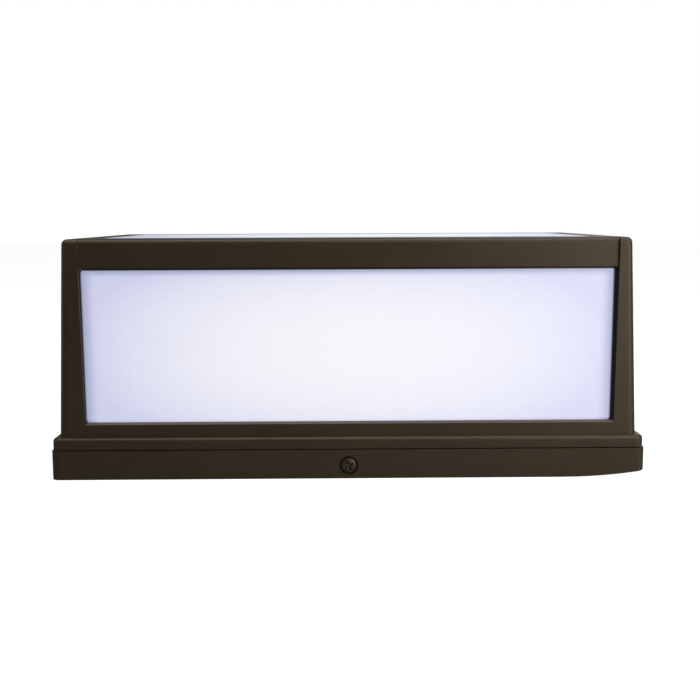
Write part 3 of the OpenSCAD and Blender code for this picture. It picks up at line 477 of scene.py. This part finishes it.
# A square bar set on edge that breaks the front edge of the sill, the panel leaning back by its draft; its
# cut takes the lightened edge coat, a painted highlight under the lens
def makeSillBar():
    left, right, side = frontFrame["sillFrom"], frontFrame["sillTo"], frontFrame["sillCut"] * math.sqrt(2)
    y, z = frontFrame["sillAt"]
    bpy.ops.object.select_all(action="DESELECT")
    bpy.ops.mesh.primitive_cube_add(
        size=1, location=((left + right) / 2 * mm, y * mm, z * mm),
        rotation=(math.radians(45 - frontFrame["lean"]), 0, 0),
        scale=((right - left) * mm, side * mm, side * mm))
    bar = bpy.context.object
    placeInMesh(bar)
    for look in (bronzeCoat, thinCoatAndHighlight):
        bar.data.materials.append(look)
    editPiece(bar)
    bpy.ops.mesh.select_all(action="SELECT")
    bar.active_material_index = 1
    bpy.ops.object.material_slot_assign()
    doneEditing()
    return bar


def makeFrontFrame():
    piece = castCopy("front_housing", "castFrontFrame", (bronzeCoat, thinCoatAndHighlight))
    cutAway(piece, makeSillBar())
    softenEdges(piece, frontFrame["edge"], frontFrame["steps"], edgeLook=1)
    smoothShade(piece)
    finishPiece(piece, "front_housing", "bronze_coat", "front_housing")


makeFrontFrame()
print("front housing done")

# Back box: the shallow casting against the wall
backTray = {"edge": 0.6, "steps": 3}


def makeBackTray():
    piece = castCopy("back_box", "castBackBox", (bronzeCoat, thinCoatAndHighlight))
    softenEdges(piece, backTray["edge"], backTray["steps"], edgeLook=1)
    smoothShade(piece)
    finishPiece(piece, "back_box", "bronze_coat", "back_box")


makeBackTray()
print("back box done")

# Opal lenses: what lies behind the casting all round, and the raised face inside it
# Painted glow colours: near and centre tones and a bluer rim on the face, next to no glow on the walls, and
# a dark base colour painted on the walls as the shade in the gap
opalGlow = {"lap": 6.1, "sideBorder": 9.0, "strength": 1.0, "wall": (0.006, 0.006, 0.008),
            "paintedWallShade": (0.03, 0.03, 0.035), "rim": (0.22, 0.25, 0.43)}
# The window glow's middle sits 0.8 mm to the left, painted to even out the brighter light from the right,
# and 3 mm low
windowGlow = {**opalGlow, "up": 2, "shift": -0.8, "drop": 3.0, "taper": 0.85, "edgeBorder": 5.0, "edge": 0.5,
              "near": (0.46, 0.468, 0.66), "centre": (0.70, 0.70, 0.74)}
frontGlow = {**opalGlow, "up": 1, "shift": 0.0, "drop": 0.0, "taper": 0.0, "edgeBorder": 7.0, "edge": 0.8,
             "near": (0.28, 0.29, 0.43), "centre": (0.50, 0.51, 0.58)}


def makeLensPiece(node, name, lens):
    low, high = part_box(node)
    middle, half = (low + high) / 2, (high - low) / 2
    middle.x += lens["shift"] * mm
    middle[lens["up"]] -= lens["drop"] * mm
    half.x -= (lens["lap"] + lens["taper"]) * mm
    half[lens["up"]] -= (lens["lap"] - lens["drop"]) * mm
    look = makeLens(name + " opal", middle, half, lens)
    piece = castCopy(node, name, (look,))
    softenEdges(piece, lens["edge"], 3)
    smoothShade(piece)
    finishPiece(piece, "front_housing", "opal_lens", node)


makeLensPiece("window_lens", "opalWindowLens", windowGlow)
makeLensPiece("front_lens", "opalFrontLens", frontGlow)
print("lenses done")


# Screws: a pan head raised ring by ring, a tapered cross recess and a shank, standing on z = 0
panShape = {"wall": 0.55, "rings": (0.93, 0.82, 0.66, 0.45, 0.2), "neck": 0.12, "point": 0.3,
            "recessAt": 0.75, "slotFoot": 0.62, "coneFoot": 0.7, "coneTop": 0.6, "coneDepth": 0.7}


def makePanScrew(name, sizes, looks):
    headR, headH, shankR, length = (sizes[key] * mm for key in ("headR", "headH", "shankR", "length"))
    wall = panShape["wall"] * headH
    domeR = (headR ** 2 + (headH - wall) ** 2) / (2 * (headH - wall))
    bpy.ops.object.select_all(action="DESELECT")
    bpy.ops.mesh.primitive_cylinder_add(
        vertices=sizes["sides"], radius=headR, depth=wall, location=(0, 0, wall / 2))
    screw = bpy.context.object
    screw.name = screw.data.name = name
    placeInMesh(screw)
    for look in looks:
        screw.data.materials.append(look)
    editPiece(screw)
    pickFlat(1)
    reach, height = headR, wall
    for share in panShape["rings"]:
        rise = wall + math.sqrt(domeR ** 2 - (headR * share) ** 2) - (domeR - headH + wall)
        bpy.ops.mesh.inset(thickness=reach - headR * share, depth=rise - height)
        reach, height = headR * share, rise
    pickFlat(-1)
    neck, point = panShape["neck"], panShape["point"]
    straight = length - shankR * (neck + point)
    bpy.ops.mesh.inset(thickness=headR - shankR * (1 + neck))
    bpy.ops.mesh.inset(thickness=shankR * neck, depth=shankR * neck)
    bpy.ops.mesh.extrude_region_move(TRANSFORM_OT_translate={"value": (0, 0, -straight)})
    bpy.ops.mesh.inset(thickness=shankR * point, depth=shankR * point)
    doneEditing()
    arm, half = headR * sizes["recess"], headR * sizes["slot"]
    at, foot = panShape["recessAt"] * headH, (panShape["recessAt"] - 0.5) * headH
    for turn in (0, 90):
        bpy.ops.object.select_all(action="DESELECT")
        bpy.ops.mesh.primitive_cube_add(
            size=1, location=(0, 0, at), rotation=(0, 0, math.radians(turn + sizes["turn"])),
            scale=(2 * arm, 2 * half, headH))
        cutter = bpy.context.object
        placeInMesh(cutter)
        editPiece(cutter)
        pickFlat(-1)
        bpy.ops.transform.resize(
            value=(panShape["slotFoot"], panShape["slotFoot"], 1.0), center_override=(0, 0, foot))
        doneEditing()
        cutAway(screw, cutter)
    bpy.ops.object.select_all(action="DESELECT")
    bpy.ops.mesh.primitive_cone_add(
        vertices=24, radius1=half * panShape["coneFoot"], radius2=arm * panShape["coneTop"],
        depth=headH * panShape["coneDepth"], location=(0, 0, at))
    cutAway(screw, bpy.context.object)
    softenEdges(screw, sizes["edge"], 2, angle=32, edgeLook=sizes.get("edgeLook", -1))
    smoothShade(screw, 35)
    return screw


# A screw thread: one V profile wound up the shank
threadShape = {"depth": 0.5, "crestFrom": 0.42, "crestTo": 0.56, "steps": 28}


def makeThread(name, radius, pitch, turns, bottom, looks):
    root = radius - threadShape["depth"] * pitch
    profile = ((root, 0), (radius, threadShape["crestFrom"]), (radius, threadShape["crestTo"]), (root, 1))
    mesh = bpy.data.meshes.new(name)
    mesh.from_pydata([(out * mm, 0, (bottom + up * pitch) * mm) for out, up in profile],
                     [(0, 1), (1, 2), (2, 3)], [])
    thread = bpy.data.objects.new(name, mesh)
    scene.collection.objects.link(thread)
    for look in looks:
        mesh.materials.append(look)
    wind = thread.modifiers.new("wind", "SCREW")
    wind.axis = "Z"
    wind.angle = 2 * math.pi
    wind.screw_offset = pitch * mm
    wind.iterations = turns
    wind.steps = wind.render_steps = threadShape["steps"]
    applyModifiers(thread)
    editPiece(thread, "VERT")
    bpy.ops.mesh.select_all(action="SELECT")
    bpy.ops.mesh.remove_doubles(threshold=0.002 * mm)
    bpy.ops.mesh.fill_holes(sides=0)
    bpy.ops.mesh.select_all(action="SELECT")
    bpy.ops.mesh.normals_make_consistent(inside=False)
    doneEditing()
    smoothShade(thread, 50)
    return thread


# The loose parts of a CAD node, as lists of points: points within a grid of 0.004 mm count as one
def partsOf(node):
    mesh = nodes[node].data
    keys = [tuple(round(c / (0.004 * mm)) for c in v.co) for v in mesh.vertices]
    parent = {key: key for key in keys}

    def root(key):
        while parent[key] != key:
            parent[key] = parent[parent[key]]
            key = parent[key]
        return key

    for face in mesh.polygons:
        first = root(keys[face.vertices[0]])
        for corner in face.vertices[1:]:
            parent[root(keys[corner])] = first
    groups = {}
    for vertex, key in zip(mesh.vertices, keys):
        groups.setdefault(root(key), []).append(vertex.co.copy())
    return sorted(groups.values(), key=lambda points: tuple(
        round(sum(p[i] for p in points) / len(points), 4) for i in (0, 1, 2)))


# Where a screw of a CAD node stands, given the way its head points, and how long its shank is
def screwSeat(points, outward, headH):
    side = Vector((1, 0, 0)) if abs(outward.x) < 0.5 else Vector((0, 1, 0))
    across = outward.cross(side).normalized()
    middle = Vector()
    for axis in (side, across):
        along = [p.dot(axis) for p in points]
        middle += axis * (min(along) + max(along)) / 2
    along = [p.dot(outward) for p in points]
    base = max(along) - 0.985 * headH * mm  # the crown's last ring lies a little under the full height
    turned = Matrix((side, across, outward)).transposed().to_4x4()
    return Matrix.Translation(middle + outward * base) @ turned, (base - min(along)) / mm


def fitScrews(node, name, body, slot, outward, sizes, looks):
    outward = Vector(outward).normalized()
    parts = partsOf(node)
    seats = [screwSeat(points, outward, sizes["headH"]) for points in parts]
    model = makePanScrew(name, {**sizes, "length": seats[0][1]}, looks)
    copies = []
    for count, (place, length) in enumerate(seats):
        turned = place @ Matrix.Rotation(math.radians(37 * count), 4, "Z")  # no two recesses stand alike
        copy = bpy.data.objects.new(f"{name}{count}", model.data.copy())
        scene.collection.objects.link(copy)
        copy.data.transform(turned)
        if turned.to_3x3().determinant() < 0:
            copy.data.flip_normals()
        copies.append(copy)
    removePiece(model)
    piece = joinPieces(copies, name)
    finishPiece(piece, body, slot, node)
    return piece


# Closing screw with its cross recess and the thread for the clamp nut
closingScrew = {"headR": 4.45, "headH": 2.6, "shankR": 2.1, "sides": 64, "recess": 0.84, "slot": 0.185,
                "edge": 0.12, "edgeLook": 1, "turn": 24, "threadR": 2.5, "pitch": 0.8, "turns": 17,
                "threadUp": 1.1}


def makeClosingScrew():
    points = partsOf("captive_screw")[0]
    place, length = screwSeat(points, Vector((0, -1, 0)), closingScrew["headH"])
    screw = makePanScrew("closingScrew", {**closingScrew, "length": length}, (screwCoat, wornCoat))
    thread = makeThread(
        "closingThread", closingScrew["threadR"], closingScrew["pitch"], closingScrew["turns"],
        closingScrew["threadUp"] - length, (screwCoat,))
    whole = joinPieces([screw, thread], "closingScrew")
    whole.data.transform(place)
    if place.to_3x3().determinant() < 0:
        whole.data.flip_normals()
    finishPiece(whole, "closing_screw", "bronze_screw", "captive_screw")


makeClosingScrew()
print("closing screw done")

# Small pan screws, each kind modelled once and copied to its seats
clipScrew = {"headR": 2.8, "headH": 1.9, "shankR": 1.5, "sides": 32, "recess": 0.6, "slot": 0.14,
             "edge": 0.1, "turn": 0}
boardScrew = {**clipScrew, "headR": 2.7, "headH": 1.8}
trayScrew = {**clipScrew, "headR": 3.8, "headH": 2.4, "shankR": 2.0, "edge": 0.12}
groundScrew = {**trayScrew, "headR": 4.2}
leanOfPanel = math.radians(frontFrame["lean"])
behindPanel = (0, math.cos(leanOfPanel), -math.sin(leanOfPanel))
screwRows = (
    ("window_clip_screws", "windowClipScrews", behindPanel, clipScrew),
    ("front_clip_screws", "frontClipScrews", (0, 0, -1), clipScrew),
    ("gear_tray_screws", "gearTrayScrews", (0, 0, -1), trayScrew),
    ("driver_screws", "driverScrews", (0, 0, -1), clipScrew),
    ("led_board_screws", "boardScrews", (0, 0, 1), boardScrew))
for node, name, outward, sizes in screwRows:
    fitScrews(node, name, "front_housing", "zinc_steel", outward, sizes, (zincLook,))
fitScrews("ground_screw", "groundScrew", "back_box", "green_screw", (0, 0, 1), groundScrew, (greenLook,))
print("small screws done")

# Light sources: a white package with a recessed cup, its phosphor face and two solder pads
ledPackage = {"side": 3.5, "height": 0.8, "rim": 0.4, "cup": 0.16, "cupWall": 0.12, "columns": 14, "rows": 3,
              "phosphor": ((0.5, 0.07), (0.4, 0.03)), "padWidth": 0.45, "padLength": 2.7, "padHeight": 0.2,
              "padLap": 0.05, "padTop": (0.6, 0.9, 1.0)}


def makeLedPackages():
    side, height = ledPackage["side"] * mm, ledPackage["height"] * mm
    low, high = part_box("led_chips")
    bpy.ops.object.select_all(action="DESELECT")
    x, y = low.x + side / 2, low.y + side / 2
    bpy.ops.mesh.primitive_cube_add(size=1, location=(x, y, low.z + height / 2), scale=(side, side, height))
    package = bpy.context.object
    placeInMesh(package)
    for look in (packageLook, phosphorLook, solderLook):
        package.data.materials.append(look)
    editPiece(package)
    pickFlat(1)
    bpy.ops.mesh.inset(thickness=ledPackage["rim"] * mm)
    bpy.ops.mesh.inset(thickness=ledPackage["cupWall"] * mm, depth=-ledPackage["cup"] * mm)
    package.active_material_index = 1
    bpy.ops.object.material_slot_assign()
    for inward, rise in ledPackage["phosphor"]:
        bpy.ops.mesh.inset(thickness=inward * mm, depth=rise * mm)
    doneEditing()
    pads = []
    for way in (-1, 1):
        bpy.ops.object.select_all(action="DESELECT")
        out = (side + ledPackage["padWidth"] * mm) / 2 - ledPackage["padLap"] * mm
        bpy.ops.mesh.primitive_cube_add(
            size=1, location=(x + way * out, y, low.z + ledPackage["padHeight"] * mm / 2),
            scale=[ledPackage[key] * mm for key in ("padWidth", "padLength", "padHeight")])
        pad = bpy.context.object
        placeInMesh(pad)
        for look in (packageLook, phosphorLook, solderLook):
            pad.data.materials.append(look)
        editPiece(pad)
        pickFlat(1)
        bpy.ops.transform.resize(value=ledPackage["padTop"])
        bpy.ops.mesh.select_all(action="SELECT")
        pad.active_material_index = 2
        bpy.ops.object.material_slot_assign()
        doneEditing()
        pads.append(pad)
    package = joinPieces([package, *pads], "ledPackages")
    for axis, count in ((0, ledPackage["columns"]), (1, ledPackage["rows"])):
        row = package.modifiers.new("row", "ARRAY")
        row.count = count
        row.use_relative_offset = False
        row.use_constant_offset = True
        step = (high[axis] - low[axis] - side) / (count - 1)
        row.constant_offset_displace = [step if i == axis else 0.0 for i in range(3)]
    applyModifiers(package)
    smoothShade(package, 30)
    finishPiece(package, "front_housing", "phosphor", "led_chips")


makeLedPackages()
print("light sources done")


# Leads: round tubes along the same routes as in the CAD model
def makeLead(name, routes, radius, look):
    curve = bpy.data.curves.new(name, "CURVE")
    curve.dimensions = "3D"
    curve.bevel_depth = radius * mm
    curve.bevel_resolution = 4
    curve.resolution_u = 10
    curve.use_fill_caps = True
    for route in routes:
        spline = curve.splines.new("NURBS")
        spline.points.add(len(route) - 1)
        for point, place in zip(spline.points, route):
            point.co = (*(c * mm for c in place), 1.0)
        spline.order_u = 3
        spline.use_endpoint_u = True
    lead = bpy.data.objects.new(name, curve)
    scene.collection.objects.link(lead)
    onlyPiece(lead)
    bpy.ops.object.convert(target="MESH")
    lead = bpy.context.object
    lead.name = lead.data.name = name
    lead.data.materials.clear()
    lead.data.materials.append(look)
    editPiece(lead, "VERT")
    bpy.ops.mesh.select_all(action="SELECT")
    bpy.ops.mesh.remove_doubles(threshold=0.002 * mm)
    doneEditing()
    smoothShade(lead, 40)
    return lead


# Each step of the supply path: x, its step from lead to lead, y, its step from lead to lead
leads = {"radius": 1.3, "strand": 0.25, "tip": 9.0, "lay": 7.0, "tipLap": 0.4, "tipPoints": 15,
         "supplyZ": 21.6, "supplyPath": (
             (-85, 0, -52.05, 5), (-99, 0, -52.05, 5), (-115, 4, -20, 0), (-109, 4, 34, -2),
             (-79, 0, 58, -8), (-40, 0, 50, -9), (-14, 0, 26, -9)),
         "driverX": 85, "driverY": -52.05, "feedZ": 22, "feedApart": 3, "apart": 2.2, "bend": 9.0,
         "feedRise": ((-72.2, 22), (-78.2, 25), (-78.2, 33.2), (-76.2, 38.8), (-69.2, 36.8), (-55, 35.8)),
         "connectorX": 125.64, "connectorZ": 35.8, "boardPitch": 53.99, "jumperBow": 3, "jumperIn": 1}


def supplyRoute(i):
    return [(x + stepX * i, y + stepY * i, leads["supplyZ"]) for x, stepX, y, stepY in leads["supplyPath"]]


# Bare ends: seven fine strands laid round each other
def makeLeadTips():
    routes = []
    for i in (-1, 0, 1):
        route = [Vector(point) for point in supplyRoute(i)]
        way = (route[-1] - route[-2]).normalized()
        side = way.cross(Vector((0, 0, 1)))
        for strand in range(7):
            turn = strand * math.pi / 3
            reach = 0.0 if strand == 6 else 2 * leads["strand"]
            points = []
            for step in range(leads["tipPoints"]):
                along = leads["tip"] * step / (leads["tipPoints"] - 1) - leads["tipLap"]
                angle = turn + 2 * math.pi * along / leads["lay"]
                points.append(route[-1] + way * along + side * reach * math.cos(angle)
                              + Vector((0, 0, 1)) * reach * math.sin(angle))
            routes.append(points)
    piece = makeLead("leadTips", routes, leads["strand"], copperLook)
    finishPiece(piece, "front_housing", "tinned_copper", "lead_tips")


def makeLeads():
    for i, name, node, slot, look in ((1, "lineLead", "line_lead", "lead_black", blackLook),
                                      (0, "neutralLead", "neutral_lead", "lead_white", whiteLook),
                                      (-1, "groundLead", "ground_lead", "lead_green", greenLeadLook)):
        finishPiece(makeLead(name, [supplyRoute(i)], leads["radius"], look), "front_housing", slot, node)
    x, z, bend = leads["connectorX"], leads["connectorZ"], leads["bend"]
    rows = [i * leads["boardPitch"] for i in (-1, 0, 1)]
    jumpers, feeds = [], []
    for s in (-1, 1):
        at = x + s * leads["apart"]
        for y0, y1 in zip(rows[:-1], rows[1:]):
            y0, y1 = y0 + leads["jumperIn"], y1 - leads["jumperIn"]
            jumpers.append([(at, y0, z), (at, y0 + bend, z), (at + leads["jumperBow"] * s, (y0 + y1) / 2, z),
                            (at, y1 - bend, z), (at, y1, z)])
        y, low = leads["driverY"] + leads["feedApart"] * s, leads["feedZ"]
        feeds.append([(leads["driverX"], y, low), (at - bend, y, low), (at, y - bend, low),
                      *((at, *rise) for rise in leads["feedRise"])])
    redLeads = ((jumpers, "jumperLeads", "jumper_leads"), (feeds, "boardFeedLeads", "led_leads"))
    for routes, name, node in redLeads:
        finishPiece(makeLead(name, routes, leads["radius"], redLook), "front_housing", "lead_red", node)
    makeLeadTips()


makeLeads()
print("leads done")

# Sheet metal, mouldings and small metal parts: their edges are broken as on the real ones
edgedParts = {
    "clamp_nut": ("clampNut", "clamp_nut", "zinc_steel", zincLook, 0.35),
    "hinge_pins": ("hingePins", "back_box", "stainless", stainlessLook, 0.18),
    "wire_bushing": ("wireBushing", "back_box", "rubber", rubberLook, 0.5),
    "screw_seal": ("screwSeal", "back_box", "rubber", rubberLook, 0.2),
    "window_clips": ("windowClips", "front_housing", "zinc_steel", zincLook, 0.2),
    "front_clips": ("frontClips", "front_housing", "zinc_steel", zincLook, 0.2),
    "gear_tray": ("gearTray", "front_housing", "white_paint", enamelLook, 0.25),
    "reflector": ("reflectorSheet", "front_housing", "white_paint", enamelLook, 0.15),
    "led_boards": ("lightBoards", "front_housing", "white_board", boardLook, 0.12),
    "board_connectors": ("boardConnectors", "front_housing", "white_nylon", nylonLook, 0.25),
    "lead_grommet": ("leadGrommet", "front_housing", "rubber", rubberLook, 0.4),
    "driver_case": ("driverCase", "front_housing", "driver_aluminium", aluminiumLook, 0.25),
    "driver_end_caps": ("driverEndCaps", "front_housing", "black_plastic", plasticLook, 0.4),
}
sheetsInQuads = ("gear_tray",)  # one face round its many holes would fold over itself
for node, (name, body, slot, look, edge) in edgedParts.items():
    piece = castCopy(node, name, (look,), inQuads=node in sheetsInQuads)
    softenEdges(piece, edge, 2)
    smoothShade(piece, 20)
    finishPiece(piece, body, slot, node)
print("edged parts done,", len(edgedParts))

# CAD nodes that stay as they are and take a finish
keptNodes = {"wall_gasket": foamLook, "seam_gasket": siliconeLook, "window_gasket": siliconeLook,
             "front_gasket": siliconeLook}
for node, look in keptNodes.items():
    nodes[node].data.materials.clear()
    nodes[node].data.materials.append(look)
print("kept nodes finished,", len(keptNodes))

# Studio: a pale floor, a white surround and four soft lights, the right side brighter than the left
# The surround lights by direction: more from behind and from the right, less from above
studio = {"floorSize": 12.0, "floorDrop": 0.2, "floorTone": 0.36, "floorGlow": 0.92, "bounce": 0.26,
          "behindRange": (-0.6, 0.95), "behindLight": (0.015, 0.6), "aboveRange": (0.1, 0.7),
          "aboveLight": (1.0, 0.5), "asideRange": (-0.3, 0.3), "asideLight": (0.3, 1.4)}
softLights = {  # name: place, what it aims at, width and height, power
    "right softbox": ((0.66, -0.72, 0.30), (0.08, -0.1, 0.07), (0.7, 0.7), 6.2),
    "left softbox": ((-1.1, -0.16, 0.35), (0.0, -0.1, 0.07), (0.5, 0.7), 1.15),
    "front softbox": ((0.38, -0.62, 1.0), (0.0, -0.1, 0.14), (1.4, 0.12), 2.7),
    "top softbox": ((0.0, -0.1, 1.2), (0.0, -0.08, 0.1), (1.6, 0.4), 9.0),
}


def makeFloor():
    bpy.ops.object.select_all(action="DESELECT")
    bpy.ops.mesh.primitive_plane_add(size=studio["floorSize"], location=(0, 0, -studio["floorDrop"] * mm))
    floor = bpy.context.object
    floor.name = "studioFloor"
    material, tree, shader, place = newMaterial("pale floor")
    setPlain(shader, {"Base Color": (*[studio["floorTone"]] * 3, 1.0), "Roughness": 0.9,
                      "Emission Color": (1, 1, 1, 1), "Emission Strength": studio["floorGlow"],
                      "Specular IOR Level": 0.1})
    darker = addNode(tree, "ShaderNodeBsdfDiffuse", {"Color": (*[studio["bounce"]] * 3, 1.0)})
    seen = addNode(tree, "ShaderNodeLightPath")
    mix = addNode(tree, "ShaderNodeMixShader", {
        0: (seen, "Is Camera Ray"), 1: (darker, "BSDF"), 2: (shader, "BSDF")})
    join(tree, (mix, 0), tree.nodes["Material Output"].inputs["Surface"])
    floor.data.materials.append(material)


def makeSurround():
    world = bpy.data.worlds.new("white surround")
    world.use_nodes = True
    scene.world = world
    tree = world.node_tree
    place = addNode(tree, "ShaderNodeTexCoord")
    split = addNode(tree, "ShaderNodeSeparateXYZ", {"Vector": (place, "Generated")})
    levels = [rescale(tree, (split, axis), *studio[way + "Range"], *studio[way + "Light"],
                      interpolation_type="SMOOTHSTEP")
              for axis, way in (("Y", "behind"), ("Z", "above"), ("X", "aside"))]
    level = reckon(tree, "MULTIPLY", reckon(tree, "MULTIPLY", levels[0], levels[1]), levels[2])
    lit = addNode(tree, "ShaderNodeBackground", {"Color": (1, 1, 1, 1), "Strength": level})
    white = addNode(tree, "ShaderNodeBackground", {"Color": (1, 1, 1, 1), "Strength": 1.0})
    seen = addNode(tree, "ShaderNodeLightPath")
    mix = addNode(tree, "ShaderNodeMixShader", {
        0: (seen, "Is Camera Ray"), 1: (lit, "Background"), 2: (white, "Background")})
    join(tree, (mix, 0), tree.nodes["World Output"].inputs["Surface"])


def makeSoftLights():
    for name, (place, aim, size, power) in softLights.items():
        bpy.ops.object.light_add(type="AREA", location=place)
        lamp = bpy.context.object
        lamp.name = name
        lamp.data.shape = "RECTANGLE"
        lamp.data.size, lamp.data.size_y = size
        lamp.data.energy = power
        lamp.rotation_euler = (Vector(aim) - Vector(place)).to_track_quat("-Z", "Y").to_euler()
        lamp.visible_camera = False


makeFloor()
makeSurround()
makeSoftLights()
scene.view_settings.view_transform = "Standard"
print("studio done")
